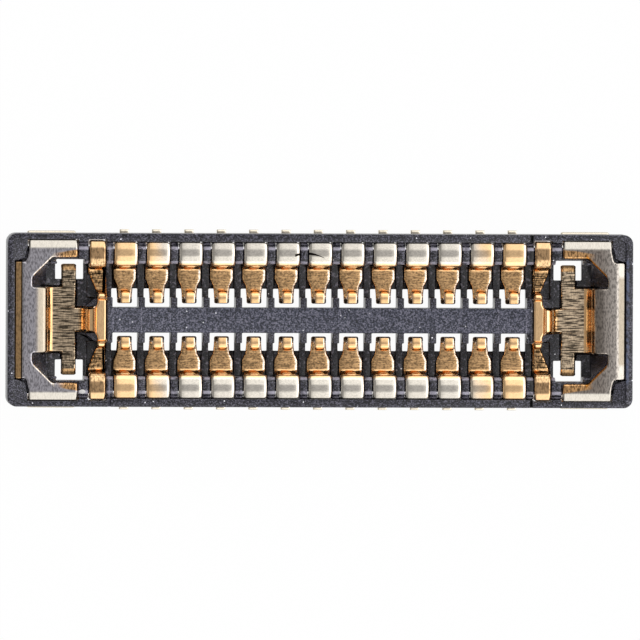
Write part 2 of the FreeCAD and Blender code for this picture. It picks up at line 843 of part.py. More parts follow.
# The blocks in the housing's corners stand a little lower than its walls.
def cut_corner_blocks(body):
    outer = cell("plate_outside") + gap
    wide = cell("arm_outside") + gap
    corner = cell("corner_radius") / 2
    inner = cell("arm_start") - 0.05
    low = cell("plate_half_width") - 0.05
    block = [
        point(inner, low),
        point(outer, low),
        point(outer, wide - corner, corner, 1),
        point(outer - corner, wide),
        point(inner, wide),
    ]
    cut_ends(body, "CornerBlock", block, cell("corner_top"))


# The moat's corners slope down from under the plate's edge.
def cut_moat_corners(body):
    for across in (1, -1):
        for along in (1, -1):
            low = new_sketch(body, "XY_Plane", "CornerLow", cell("moat_level"))
            high = new_sketch(body, "XY_Plane", "CornerHigh", cell("plate_top") - metal)
            start = cell("tongue_half_width") + gap
            inner = cell("bar_leg_outside") + window_behind - 0.02
            low_points = [
                point(inner, start),
                point(cell("tongue_inside"), start),
                point(cell("tongue_inside") - 0.02, start + 0.1),
                point(inner, cell("leg_inside") - 0.05),
            ]
            high_points = [
                point(inner, start),
                point(cell("relief_outside") + 0.01, start),
                point(cell("relief_outside") + 0.01, relief_corner),
                point(inner, cell("arm_inside") + 0.01),
            ]
            draw_mirrored(low, low_points, [(along, across)])
            draw_mirrored(high, high_points, [(along, across)])
            loft = body.newObject("PartDesign::SubtractiveLoft", "Corner")
            loft.Profile = low
            loft.Sections = [high]
            cuts.append(loft)


def cut_wall_grooves(body):
    place = cell("groove_place")
    half = cell("groove_width") / 2
    outside = cell("body_width") / 2
    groove = rectangle(place - half, place + half, cell("wall_face") - 0.01, outside + 0.05)
    cut_ends(body, "WallGroove", groove, cell("wall_top") - cell("groove_depth"))


def make_housing(label):
    body = new_body(label)
    add_block(body)
    cut_corner_blocks(body)
    cut_moat(body)
    cut_ribs(body)
    first_teeth = add_first_teeth(body)
    first_slots = cut_first_slots(body)
    cut_fitting_room(body)
    cut_strap_room(body)
    cut_moat_corners(body)
    cut_wall_grooves(body)
    row_of(body, [first_teeth], "Teeth", count + 1, pitch)
    row_of(body, first_slots, "ContactSlots", count, pitch)
    return body


pieces = [make_housing("housing")]
contact_form = make_contact_form()
for row_name, turned in (("north", False), ("south", True)):
    for place in range(int(count.number)):
        contact = copy_of(contact_form, "contact_%s_%02d" % (row_name, place + 1), turned)
        bind(contact, ".Placement.Base.x", first_contact + pitch * place)
        pieces.append(contact)
fitting_form = make_fitting_form()
pieces.append(copy_of(fitting_form, "end_fitting_left", False))
pieces.append(copy_of(fitting_form, "end_fitting_right", True))
doc.recompute()

for item in doc.Objects:
    if "Invalid" in item.State or "Error" in item.State:
        raise RuntimeError("%s failed: %s" % (item.Label, item.State))
for cut in cuts:
    if not cut.Shape.Volume < cut.BaseFeature.Shape.Volume - 1e-9:
        raise RuntimeError("nothing was cut by " + cut.Label)
for piece in pieces:
    shape = piece.Shape
    if shape.isNull() or not shape.isValid() or len(shape.Solids) != 1:
        raise RuntimeError("%s has no single valid solid" % piece.Label)
    shape.exportStep("parts/%s.step" % piece.Label)
    box = shape.BoundBox
    print("%s volume %.5f, x %.3f to %.3f, y %.3f to %.3f, z %.3f to %.3f" % (
        piece.Label, shape.Volume, box.XMin, box.XMax, box.YMin, box.YMax, box.ZMin, box.ZMax
    ))
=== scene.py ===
import math
import bpy
import bmesh
from mathutils import Matrix, Vector


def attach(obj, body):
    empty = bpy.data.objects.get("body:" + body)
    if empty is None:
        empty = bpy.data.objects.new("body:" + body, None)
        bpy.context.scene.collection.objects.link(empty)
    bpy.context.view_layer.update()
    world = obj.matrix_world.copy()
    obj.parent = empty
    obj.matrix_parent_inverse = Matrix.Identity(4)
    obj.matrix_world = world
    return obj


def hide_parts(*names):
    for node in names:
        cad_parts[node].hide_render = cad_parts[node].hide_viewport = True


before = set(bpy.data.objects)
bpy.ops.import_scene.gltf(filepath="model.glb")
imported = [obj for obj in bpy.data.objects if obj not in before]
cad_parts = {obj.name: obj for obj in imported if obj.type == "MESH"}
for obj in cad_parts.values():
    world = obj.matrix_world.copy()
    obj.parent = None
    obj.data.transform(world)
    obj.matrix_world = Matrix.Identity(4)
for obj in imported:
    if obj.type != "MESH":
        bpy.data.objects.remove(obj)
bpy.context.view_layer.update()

print("frame loaded, nodes:", len(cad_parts))

# Every piece is drawn in millimetres, and toMetres brings it to metres.
mm = 0.001
pitch = 0.35
perRow = 13
sheetMetal = 0.06


def linearColour(text):
    values = [int(text[i:i + 2], 16) / 255 for i in (1, 3, 5)]
    return tuple([v / 12.92 if v <= 0.04045 else ((v + 0.055) / 1.055) ** 2.4 for v in values] + [1.0])


# Adds a node with its settings and its inputs: an input is a value, another node's output, or a node, which
# gives its first output. A colour ramp also has stops, each a position and a colour.
def addNode(tree, kind, settings=None, inputs=None, stops=()):
    node = tree.nodes.new(kind)
    for name, value in (settings or {}).items():
        setattr(node, name, value)
    for name, value in (inputs or {}).items():
        if isinstance(value, bpy.types.Node):
            value = value.outputs[0]
        if isinstance(value, bpy.types.NodeSocket):
            tree.links.new(value, node.inputs[name])
        else:
            node.inputs[name].default_value = value
    for index, (position, colour) in enumerate(stops):
        elements = node.color_ramp.elements
        element = elements[index] if index < len(elements) else elements.new(position)
        element.position = position
        element.color = linearColour(colour)
    return node


def newMaterial(name):
    material = bpy.data.materials.new(name)
    material.use_nodes = True
    material.node_tree.nodes.clear()
    return material, material.node_tree


# The values that a material works with, by name: the place in millimetres, and its parts. The plain x and y
# are distances from the middle planes, so that both rows and both ends share their marks.
def readPlace(tree):
    coordinates = addNode(tree, "ShaderNodeTexCoord")
    place = addNode(tree, "ShaderNodeVectorMath", {"operation": "SCALE"},
                    {0: coordinates.outputs["Object"], "Scale": 1 / mm})
    parts = addNode(tree, "ShaderNodeSeparateXYZ", inputs={0: place})
    at = {"place": place, "z": parts.outputs["Z"]}
    for name, axis in (("x", "X"), ("y", "Y")):
        at["signed" + axis] = parts.outputs[axis]
        at[name] = addNode(tree, "ShaderNodeMath", {"operation": "ABSOLUTE"}, {0: parts.outputs[axis]})
    return at


# Adds patterns to the values, each with its size in mm, its detail and its factors along the three axes.
def addPatterns(tree, at, patterns):
    for name, (size, detail, factors) in patterns.items():
        place = addNode(tree, "ShaderNodeVectorMath", {"operation": "MULTIPLY"}, {0: at["place"], 1: factors})
        at[name] = addNode(tree, "ShaderNodeTexNoise",
                           inputs={"Vector": place, "Scale": 1 / size, "Detail": detail})


# A soft mask: a share, multiplied by its limits. A limit is a value's name, or a value with two levels
# between which the mask rises from 0 to 1, or "without" and the name of a mask that is taken out.
def maskOf(tree, at, limits, share=1.0):
    total = share
    for limit in limits:
        if isinstance(limit, str):
            factor = at[limit]
        elif limit[0] == "without":
            factor = addNode(tree, "ShaderNodeMath", {"operation": "SUBTRACT"}, {0: 1.0, 1: at[limit[1]]})
        else:
            name, low, high = limit
            factor = addNode(tree, "ShaderNodeMapRange", {"interpolation_type": "SMOOTHSTEP"},
                             {"Value": at[name], "From Min": low, "From Max": high})
        total = addNode(tree, "ShaderNodeMath", {"operation": "MULTIPLY"}, {0: total, 1: factor})
    return total


# The limits of a band: nothing beyond its outer half width, and all of it within its inner one.
def band(name, middle, outer, inner):
    return [(name, middle - outer, middle - inner), (name, middle + outer, middle + inner)]


# Adds values worked out from earlier ones: a list is a mask, a dictionary is a sum of values with their
# weights, and a tuple is the larger of two masks.
def addRegions(tree, at, regions):
    for name, recipe in regions.items():
        if isinstance(recipe, list):
            at[name] = maskOf(tree, at, recipe)
        elif isinstance(recipe, tuple):
            at[name] = addNode(tree, "ShaderNodeMath", {"operation": "MAXIMUM"},
                               {0: at[recipe[0]], 1: at[recipe[1]]})
        else:
            total = 0.0
            for part, weight in recipe.items():
                total = addNode(tree, "ShaderNodeMath", {"operation": "MULTIPLY_ADD"},
                                {0: at[part], 1: weight, 2: total})
            at[name] = total


# Lays marks over a base in their order, each with its colour, its share and the limits of its mask.
# A colour is a name in the look, or comes from a node.
def paint(tree, at, look, base, marks, blend="MIX"):
    colour = linearColour(look[base]) if isinstance(base, str) else base
    for name, share, limits in marks:
        over = linearColour(look[name]) if isinstance(name, str) else name
        mixed = addNode(tree, "ShaderNodeMix", {"data_type": "RGBA", "blend_type": blend},
                        {0: maskOf(tree, at, limits, share), 6: colour, 7: over})
        colour = mixed.outputs[2]
    return colour


even = (1.0, 1.0, 1.0)
plasticLook = {
    "dark": "#050508", "paleMarksAndGlints": "#8f8c9c", "ribHighlight": "#aaa6b4", "wallRimHighlight": "#545c74",
    "islandTint": "#7c88a8", "spark": "#f4f4fa", "flux": "#d8d6d4", "shade": "#000000",
    "grainStops": [(0.36, "#050508"), (0.5, "#23222a"), (0.64, "#72707d")],
    "veilStops": [(0.35, "#b9b7c4"), (0.65, "#ffffff")],
    "veilShare": 0.6, "lowShade": 0.6, "lowCrinkle": 4.0,
    "sparkSpacing": 0.045, "sparkShare": 0.055, "sparkReach": 0.17,
    "fluxMiddle": (-2.568, -0.772, 0.5), "fluxReach": (0.036, 0.024, 5.0),
    "roughness": 0.32, "bump": 0.5, "bumpDepth": 0.004,
    "patterns": {
        "grain": (0.013, 4.0, even), "patches": (0.3, 3.0, even), "ribPatches": (0.06, 2.0, even),
        "gaps": (0.05, 2.0, even), "coarse": (0.018, 3.0, even), "lowGlints": (0.035, 2.0, even),
        "crinkle": (0.06, 3.0, even),
    },
}
lowDown = [("z", 0.45, 0.1)]
onRibs = [("z", 0.34, 0.4), ("ribPatches", 0.25, 0.55), ("x", 2.64, 2.61)]
onIsland = [("y", 0.15, 0.13), ("x", 2.3, 2.25)]
onRim = [("signedX", 3.3, 3.31), ("signedX", 3.345, 3.325), ("y", 0.7, 0.62), ("gaps", 0.35, 0.6)]
eastCutShadow = band("signedX", 2.285, 0.026, 0.014) + [("y", 0.3, 0.4)]
westCutHighlight = band("signedX", -2.278, 0.012, 0.006) + [("y", 0.5, 0.6)]
ribHighlightBands = [(0.829, 0.016, 0.0064), (0.777, 0.024, 0.0096), (0.623, 0.022, 0.0088)]
mouldLines = [(1.93, 0.009, 0.004), (2.235, 0.009, 0.004)]  # where the mould's inserts meet
plasticMarks = [
    ("shade", 0.95, eastCutShadow),  # the cuts across the long walls: painted shadow at the step to the east, painted highlight on the lit step face to the west
    ("paleMarksAndGlints", 0.45, westCutHighlight),
    *[("ribHighlight", 0.9, band("y", *sizes) + onRibs) for sizes in ribHighlightBands],  # painted highlights along the ribs' rounded crests
    # a painted highlight along the inner top edge of the east end wall
    ("wallRimHighlight", 1.0, onRim),
    ("islandTint", 0.1, onIsland),
    ("paleMarksAndGlints", 0.5, onIsland + [("coarse", 0.52, 0.64)]),
    ("dark", 0.7, onIsland + [("coarse", 0.48, 0.38)]),
    *[("paleMarksAndGlints", 0.7, onIsland + [("grain", 0.4, 0.6)] + band("x", *sizes)) for sizes in mouldLines],
    ("flux", 1.0, [("fluxDistance", 1.05, 0.85)]),  # a dried speck beside the left strap
    # painted glints on the low glossy plastic down in the moat
    ("paleMarksAndGlints", 0.5, lowDown + [("lowGlints", 0.56, 0.68)]),
]


# Moulded liquid crystal polymer: near black, half glossy, mottled by its glass filler, with a few bright
# filler ends on the skin, painted as glints. The grain is drawn 0.013 mm wide, a little over a pixel, so that
# it shows.
def makePlastic():
    look = plasticLook
    material, tree = newMaterial("liquidCrystalPolymer")
    at = readPlace(tree)
    addPatterns(tree, at, look["patterns"])
    at["fluxDistance"] = ovalDistance(tree, at, look["fluxMiddle"], look["fluxReach"])
    mottled = addNode(tree, "ShaderNodeValToRGB", inputs={"Fac": at["grain"]}, stops=look["grainStops"])
    veil = addNode(tree, "ShaderNodeValToRGB", inputs={"Fac": at["patches"]}, stops=look["veilStops"])
    colour = paint(tree, at, look, mottled, [(veil, look["veilShare"], [])], "MULTIPLY")
    at["fillerEnd"] = fillerEnds(tree, at)
    # painted shade: the plastic darkens with depth towards the moat floor
    shadeMark = ("shade", look["lowShade"], lowDown)
    colour = paint(tree, at, look, colour, [shadeMark, ("spark", 1.0, ["fillerEnd"])])
    colour = paint(tree, at, look, colour, plasticMarks)
    relief = addNode(tree, "ShaderNodeMath", {"operation": "MULTIPLY_ADD"},
                     {0: at["crinkle"], 1: maskOf(tree, at, lowDown, look["lowCrinkle"]), 2: at["grain"]})
    bump = addNode(tree, "ShaderNodeBump",
                   inputs={"Strength": look["bump"], "Distance": look["bumpDepth"] * mm, "Height": relief})
    surface = addNode(tree, "ShaderNodeBsdfPrincipled",
                      inputs={"Base Color": colour, "Roughness": look["roughness"], "Normal": bump})
    addNode(tree, "ShaderNodeOutputMaterial", inputs={"Surface": surface})
    return material


# How far a place is from an oval's middle, as a share of the oval's reach.
def ovalDistance(tree, at, middle, reach):
    off = addNode(tree, "ShaderNodeVectorMath", {"operation": "SUBTRACT"}, {0: at["place"], 1: middle})
    shares = addNode(tree, "ShaderNodeVectorMath", {"operation": "DIVIDE"}, {0: off, 1: reach})
    return addNode(tree, "ShaderNodeVectorMath", {"operation": "LENGTH"}, {0: shares}).outputs["Value"]


# Painted glints for the bright filler ends: the middles of a few cells, picked by the cells' random red.
def fillerEnds(tree, at):
    look = plasticLook
    cells = addNode(tree, "ShaderNodeTexVoronoi", {"feature": "F1"},
                    {"Vector": at["place"], "Scale": 1 / look["sparkSpacing"]})
    seed = addNode(tree, "ShaderNodeSeparateColor", inputs={0: cells.outputs["Color"]})
    rare = addNode(tree, "ShaderNodeMath", {"operation": "GREATER_THAN"},
                   {0: seed, 1: 1 - look["sparkShare"]})
    near = addNode(tree, "ShaderNodeMath", {"operation": "LESS_THAN"},
                   {0: cells.outputs["Distance"], 1: look["sparkReach"]})
    return addNode(tree, "ShaderNodeMath", {"operation": "MULTIPLY"}, {0: rare, 1: near})


platingLook = {
    "gold": "#ffcd92", "paleGold": "#ffd5a0", "armGold": "#d08a3c", "rimGold": "#d2ac7c",
    "archShade": "#6a3c10", "nickel": "#ddd6ca", "bentNickel": "#b6aa98", "edgeHighlight": "#fff2e2",
    "creaseShade": "#20180f", "steel": "#bdb9be", "warmSteel": "#a0958b", "paleSteel": "#cfc6bc",
    "tin": "#e6dcc8", "drab": "#ffe4c0", "westBar": "#dcc4a4", "hair": "#14100c",
    "grainStops": [(0.39, "#6c6c6c"), (0.55, "#ffffff")],
    "streakStops": [(0.46, "#1c1a18"), (0.53, "#ffffff")],
    "grainShare": 0.15, "floorGrain": 0.5, "floorStreaks": 0.88,
    "roughness": 0.15, "bump": 0.3, "bumpDepth": 0.0012, "grainRelief": 0.5,
    "patches": (0.25, 2.0, even), "grainSize": 0.016, "grainDetail": 3.0,
    "streaks": (0.0125, 2.0, (0.08, 1.0, 1.0)),
}


# Rolling grain: fine mottling over the whole strip, and on the moat floor streaks drawn out along X. Both
# are a little over a pixel wide, so that they show.
def finishPlating(tree, material, at, colour, grainFactors, streaks):
    look = platingLook
    addPatterns(tree, at, {
        "fine": (look["grainSize"], look["grainDetail"], grainFactors), "lines": look["streaks"],
    })
    grain = addNode(tree, "ShaderNodeValToRGB", inputs={"Fac": at["fine"]}, stops=look["grainStops"])
    lines = addNode(tree, "ShaderNodeValToRGB", inputs={"Fac": at["lines"]}, stops=look["streakStops"])
    floorGrain = addNode(tree, "ShaderNodeMath", {"operation": "MULTIPLY_ADD"},
                         {0: at["floor"], 1: look["floorGrain"], 2: look["grainShare"]})
    at["grained"] = addNode(tree, "ShaderNodeMath", {"operation": "ADD"}, {0: floorGrain, 1: at["more"]})
    colour = paint(tree, at, look, colour, [
        (grain, 1.0, ["grained"]), (lines, look["floorStreaks"] * streaks, ["floor"]),
    ], "MULTIPLY")
    small = addNode(tree, "ShaderNodeMath", {"operation": "MULTIPLY"},
                    {0: at["fine"], 1: look["grainRelief"]})
    height = addNode(tree, "ShaderNodeMath", {"operation": "MULTIPLY_ADD"},
                     {0: maskOf(tree, at, ["floor"], streaks), 1: at["lines"], 2: small})
    bump = addNode(tree, "ShaderNodeBump",
                   inputs={"Strength": look["bump"], "Distance": look["bumpDepth"] * mm, "Height": height})
    surface = addNode(tree, "ShaderNodeBsdfPrincipled", inputs={
        "Base Color": colour, "Metallic": 1.0, "Roughness": look["roughness"], "Normal": bump})
    addNode(tree, "ShaderNodeOutputMaterial", inputs={"Surface": surface})
    return material


# Broad patches push the rough values about, so that the limits between finishes wander.
contactRegions = {
    "roughX": {"x": 1.0, "patches": 0.3},
    "roughY": {"y": 1.0, "patches": 0.02},
    "roughZ": {"z": 1.0, "patches": 0.03},
    "floor": [("z", 0.3, 0.2), ("roughY", 0.55, 0.53)],
}
contactMarks = [
    ("paleGold", 1.0, [("roughZ", 0.4, 0.47)]),
    ("nickel", 1.0, [("roughY", 0.61, 0.64), ("roughX", 2.0, 1.75)]),
    ("tin", 1.0, [("y", 0.9, 0.93)]),
    # a painted highlight on each contact's rolled edge that faces east, towards the light
    ("edgeHighlight", 0.8, ["edge", ("inPitch", 0.5, 0.6)]),
    ("hair", 1.0, [("signedX", -0.285, -0.27), ("signedX", 0.045, 0.03), ("hairDistance", 1.2, 0.7)]),
]
contactGrain = {"factors": (0.7, 1.0, 1.0), "streaks": 0.4}


# Gold flash over nickel on a copper alloy strip, rolled and then folded. The nickel shows pale where the
# gold is thin, over the outside of the high folds, and the solder tails are tinned.
def makeContactPlating():
    look = platingLook
    material, tree = newMaterial("goldFlashedContactStrip")
    at = readPlace(tree)
    addPatterns(tree, at, {"patches": look["patches"]})
    addRegions(tree, at, contactRegions)
    at["edge"] = addNode(tree, "ShaderNodeAttribute", {"attribute_name": "edge"}).outputs["Fac"]
    pitches = addNode(tree, "ShaderNodeMath", {"operation": "MULTIPLY_ADD"},
                      {0: at["signedX"], 1: 1 / pitch, 2: 0.5})
    at["inPitch"] = addNode(tree, "ShaderNodeMath", {"operation": "FRACT"}, {0: pitches})
    at["hairDistance"] = hairDistance(tree, at)
    at["more"] = 0.0
    colour = paint(tree, at, look, "gold", contactMarks)
    return finishPlating(tree, material, at, colour, contactGrain["factors"], contactGrain["streaks"])


hairSizes = {
    "crestX": -0.15, "crestY": 0.724, "curve": -1.3, "halfWidth": 0.003, "thicker": 0.011,
    "thickening": [("signedX", 0.04, -0.12)],
}


# A dark hair lies bent across the arches of the sixth and seventh north contacts, thinner to the east. This
# is the distance from its middle line, as a share of its half width.
def hairDistance(tree, at):
    hair = hairSizes
    along = addNode(tree, "ShaderNodeMath", {"operation": "SUBTRACT"}, {0: at["signedX"], 1: hair["crestX"]})
    square = addNode(tree, "ShaderNodeMath", {"operation": "MULTIPLY"}, {0: along, 1: along})
    middle = addNode(tree, "ShaderNodeMath", {"operation": "MULTIPLY_ADD"},
                     {0: square, 1: hair["curve"], 2: hair["crestY"]})
    off = addNode(tree, "ShaderNodeMath", {"operation": "SUBTRACT"}, {0: at["signedY"], 1: middle})
    distance = addNode(tree, "ShaderNodeMath", {"operation": "ABSOLUTE"}, {0: off})
    halfWidth = addNode(tree, "ShaderNodeMath", {"operation": "ADD"},
                        {0: maskOf(tree, at, hair["thickening"], hair["thicker"]), 1: hair["halfWidth"]})
    return addNode(tree, "ShaderNodeMath", {"operation": "DIVIDE"}, {0: distance, 1: halfWidth})


fittingRegions = {
    "roughX": {"x": 1.0, "patches": 0.2},
    "roughZ": {"z": 1.0, "patches": 0.04},
    "west": [("signedX", 0.5, -0.5)],
    "east": [("signedX", -0.5, 0.5)],
    "armBend": [("y", 0.72, 0.8), ("x", 2.56, 2.6)],
    "outward": {"roughX": 1.0, "west": 0.12, "armBend": 0.4},
    "outerBend": ["west", ("x", 3.215, 3.235)],
    "tongueRoot": {"x": 1.0, "east": 0.11},
    "pastRoot": [("tongueRoot", 3.03, 3.1)],
    "pastTongue": [("y", 0.36, 0.4)],
    "beside": ("pastRoot", "pastTongue"),
    "covered": ["east", ("without", "beside")],
    "worn": [
        ("roughZ", 0.47, 0.53), ("outward", 2.97, 3.09), ("without", "outerBend"), ("without", "covered"),
    ],
    "brushed": ["beside", ("y", 0.79, 0.76), ("x", 3.24, 3.21)],
    "floor": [("roughZ", 0.3, 0.2), ("x", 2.885, 2.865), ("y", 0.54, 0.52)],
    "bar": ["floor", ("x", 2.57, 2.62)],
    "arms": [("x", 2.58, 2.6), ("roughZ", 0.45, 0.5)],
    "golden": ["arms", ("without", "worn")],
    "bent": ("outerBend", "golden"),
    "more": {"brushed": 0.45, "bar": -0.3, "bent": 0.3},
    "diagonal": {"x": 1.0, "y": 1.0},
}
steelMarks = [("paleSteel", 1.0, [("x", 3.0, 3.22)])]
nickelMarks = [("bentNickel", 1.0, [("y", 0.5, 0.45)])]
neckRise = [("y", 0.16, 0.14), ("x", 2.6, 2.58), ("roughZ", 0.18, 0.24), ("roughZ", 0.46, 0.4)]
strapTops = [("x", 2.56, 2.54), ("y", 0.65, 0.67), ("y", 0.79, 0.77)]
goldMarks = [
    ("paleGold", 1.0, [("roughZ", 0.4, 0.5)]),
    ("drab", 1.0, ["bar"]),
    ("armGold", 0.5, ["arms"]),
    ("rimGold", 0.8, ["outerBend"]),
    ("westBar", 1.0, ["bar", "west"]),
    ("tin", 1.0, neckRise),
    ("archShade", 0.45, strapTops),
]
# a painted highlight on the relief rim of the west fitting, whose edge faces the light; the east one is gold
reliefRimHighlight = [("diagonal", 3.605, 3.585), ("roughZ", 0.45, 0.5), ("x", 3.105, 3.09), ("x", 2.86, 2.88),
             ("y", 0.4, 0.43)]
lastMarks = [
    # painted shade: a dark line down the west outer bend, on its face turned away from the light
    ("creaseShade", 1.0, ["west", ("y", 0.66, 0.62)] + band("x", 3.226, 0.009, 0.004)),
    ("tin", 1.0, [("y", 0.9, 0.93)]),
]
fittingGrain = {"factors": (1.0, 0.4, 1.0), "streaks": 1.0}


# The same strip for the end fittings: bare rolled nickel over the plate and gold towards the moat.
def makeFittingPlating():
    look = platingLook
    material, tree = newMaterial("goldFlashedFittingSheet")
    at = readPlace(tree)
    addPatterns(tree, at, {"patches": look["patches"]})
    addRegions(tree, at, fittingRegions)
    warm = paint(tree, at, look, "warmSteel", steelMarks)
    steel = paint(tree, at, look, "steel", [(warm, 1.0, ["east"])])
    sheet = paint(tree, at, look, "nickel", nickelMarks + [(steel, 1.0, ["brushed"])])
    gold = paint(tree, at, look, "gold", goldMarks)
    litReliefRim = paint(tree, at, look, "edgeHighlight", [("armGold", 1.0, ["east"])])
    colour = paint(tree, at, look, gold, [(sheet, 1.0, ["worn"]), (litReliefRim, 1.0, reliefRimHighlight)] + lastMarks)
    return finishPlating(tree, material, at, colour, fittingGrain["factors"], fittingGrain["streaks"])


# Points along an arc, in degrees; the first one is left out, because the path already ends there.
def arcPoints(centre, radius, startAngle, endAngle, count):
    angles = [math.radians(startAngle + (endAngle - startAngle) * i / count) for i in range(1, count + 1)]
    return [Vector((centre[0] + radius * math.cos(a), centre[1] + radius * math.sin(a))) for a in angles]


def divide(points, end, count):
    start = points[-1].copy()
    points += [start.lerp(Vector(end), i / count) for i in range(1, count + 1)]


# A line through corners, each rounded over its own reach by an arc. Straights get an equal number of steps.
def roundedLine(corners, divisions=1, arcCount=8):
    places = [Vector(corner[:2]) for corner in corners]
    points = [places[0]]
    for index in range(1, len(corners) - 1):
        corner, reach = places[index], corners[index][2]
        before = (places[index - 1] - corner).normalized() * reach
        after = (places[index + 1] - corner).normalized() * reach
        divide(points, corner + before, divisions)
        weight = math.sin(before.angle(after) / 2)
        for turn in range(1, arcCount + 1):
            share = turn / arcCount
            total = (1 - share) ** 2 + share ** 2 + 2 * weight * share * (1 - share)
            points.append(corner + (before * (1 - share) ** 2 + after * share ** 2) / total)
    divide(points, places[-1], divisions)
    return points


# Sweeps a closed section along a path and closes both ends.
def sweep(mesh, rings):
    for first, second in zip(rings, rings[1:]):
        for i in range(len(first)):
            j = (i + 1) % len(first)
            mesh.faces.new((first[i], first[j], second[j], second[i]))
    mesh.faces.new(rings[0])
    mesh.faces.new(list(reversed(rings[-1])))


# Brings an object drawn in millimetres to metres.
def toMetres(piece, material, smooth=True):
    piece.data.transform(Matrix.Scale(mm, 4))
    piece.data.materials.clear()
    piece.data.materials.append(material)
    for polygon in piece.data.polygons:
        polygon.use_smooth = smooth
        polygon.material_index = 0
    return piece


def newObject(name, mesh, weld=1e-6):
    bmesh.ops.remove_doubles(mesh, verts=mesh.verts, dist=weld)
    bmesh.ops.recalc_face_normals(mesh, faces=mesh.faces)
    data = bpy.data.meshes.new(name)
    mesh.to_mesh(data)
    mesh.free()
    piece = bpy.data.objects.new(name, data)
    bpy.context.scene.collection.objects.link(piece)
    return piece


# The mesh that the modifiers give, kept in place of them.
def applyModifiers(piece):
    bpy.context.view_layer.update()
    evaluated = piece.evaluated_get(bpy.context.evaluated_depsgraph_get())
    plain = bpy.data.meshes.new_from_object(evaluated)
    piece.modifiers.clear()
    piece.data = plain


def smoothStep(value):
    value = min(max(value, 0.0), 1.0)
    return value * value * (3 - 2 * value)


# A folded strip is drawn by two lines, its visible face and its hidden one. Each corner of a line has its
# place across, its height and how far the bend reaches along both sides of it.
contactSizes = {
    "width": 0.252, "springWidth": 0.18, "footWidth": 0.162, "kneeWidth": 0.101, "tailWidth": 0.1,
    "tailFrom": 0.87, "taperStart": 0.435, "taperEnd": 0.352, "footReach": 0.08, "waistLow": 0.165,
    "waistHigh": 0.25, "kneeCorner": 0.02,
    "footAcross": 0.2605, "footHeight": 0.175, "noseAcross": 0.243, "noseHeight": 0.335, "tip": 0.1825,
    "insideBend": 0.025, "outsideBend": 0.085, "lean": 36.87, "droop": 11,
    "edgeRoll": 0.13, "edgeMark": 0.85, "crownShares": (0.5, -0.5),
    "straightSteps": 5, "bendSteps": 14, "springSteps": 6, "tipSteps": 3,
    "visibleFace": [
        (0.972, 0.06, 0), (0.8425, 0.06, 0.02), (0.8425, 0.502, 0.006), (0.76, 0.52, 0.018),
        (0.692, 0.52, 0.018), (0.635, 0.503, 0.025), (0.584, 0.474, 0.022), (0.572, 0.15, 0.05),
        (0.45, 0.15, 0.01), (0.2605, 0.15, 0),
    ],
    "hiddenFace": [
        (0.972, 0.0, 0), (0.775, 0.0, 0.085), (0.775, 0.445, 0.012), (0.755, 0.46, 0.008),
        (0.705, 0.46, 0.008), (0.672, 0.455, 0.006), (0.65, 0.435, 0.012), (0.632, 0.09, 0.11),
        (0.45, 0.09, 0.01), (0.2605, 0.09, 0),
    ],
}
# The bump on the arch's inner leg. The leg's face leans with height from the strip's top on the moat floor.
bumpSizes = {
    "low": 0.27, "high": 0.43, "reach": 0.016, "half": 0.055, "shoulder": 0.45, "root": 0.02,
    "footFace": 0.572, "faceLean": 0.02, "floorTop": 0.15, "levels": 12, "steps": 8,
}


# The strip's section, as pairs of a place across it and a distance off its middle. The blanking punch
# draws its edges down: a wide gentle slope that ends in a short round.
def sectionPoints(halfWidth, halfThickness, roll, inner):
    slope = [(0.0, 0.84), (0.06, 0.52), (0.2, 0.28), (0.5, 0.16), (0.8, 0.047), (1.0, 0.0)]
    right = [(halfWidth - roll * share, halfThickness - roll * drop) for share, drop in slope]
    left = [(-b, h) for b, h in reversed(right)]
    top = [((halfWidth - roll) * share, halfThickness) for share in inner]
    upper = right + top + left
    return upper + [(-b, -h) for b, h in upper]


# One face of the contact's strip, from the tail to the folded tip of its spring.
def contactFace(corners, footRadius, noseRadius):
    sizes = contactSizes
    foot = (sizes["footAcross"], sizes["footHeight"])
    nose = (sizes["noseAcross"], sizes["noseHeight"])
    lean = sizes["lean"]
    line = roundedLine(corners, sizes["straightSteps"])
    line += arcPoints(foot, footRadius, -90, -180 - lean, sizes["bendSteps"])
    turned = math.radians(lean)
    top = (nose[0] + noseRadius * math.cos(turned), nose[1] - noseRadius * math.sin(turned))
    divide(line, top, sizes["springSteps"])
    line += arcPoints(nose, noseRadius, -lean, 90 + sizes["droop"], sizes["bendSteps"])
    fall = (line[-1].x - sizes["tip"]) * math.tan(math.radians(sizes["droop"]))
    divide(line, (sizes["tip"], line[-1].y - fall), sizes["tipSteps"])
    return line


def contactWidth(across, height, front):
    sizes = contactSizes
    if across > sizes["tailFrom"]:
        return sizes["tailWidth"]
    if across > sizes["taperEnd"]:
        share = smoothStep((sizes["taperStart"] - across) / (sizes["taperStart"] - sizes["taperEnd"]))
        return sizes["width"] + (sizes["springWidth"] - sizes["width"]) * share
    narrowed = min((sizes["taperEnd"] - across) / sizes["footReach"], 1.0)
    foot = sizes["springWidth"] + (sizes["footWidth"] - sizes["springWidth"]) * narrowed
    share = smoothStep((height - sizes["waistLow"]) / (sizes["waistHigh"] - sizes["waistLow"]))
    width = foot + (sizes["kneeWidth"] - foot) * share
    if height > sizes["waistHigh"]:
        corner = sizes["kneeCorner"]
        edge = sizes["noseAcross"] + sizes["outsideBend"] - corner
        beyond = min(max(front - edge, 0), corner)
        width -= 2 * (corner - math.sqrt(corner * corner - beyond * beyond))
    return width


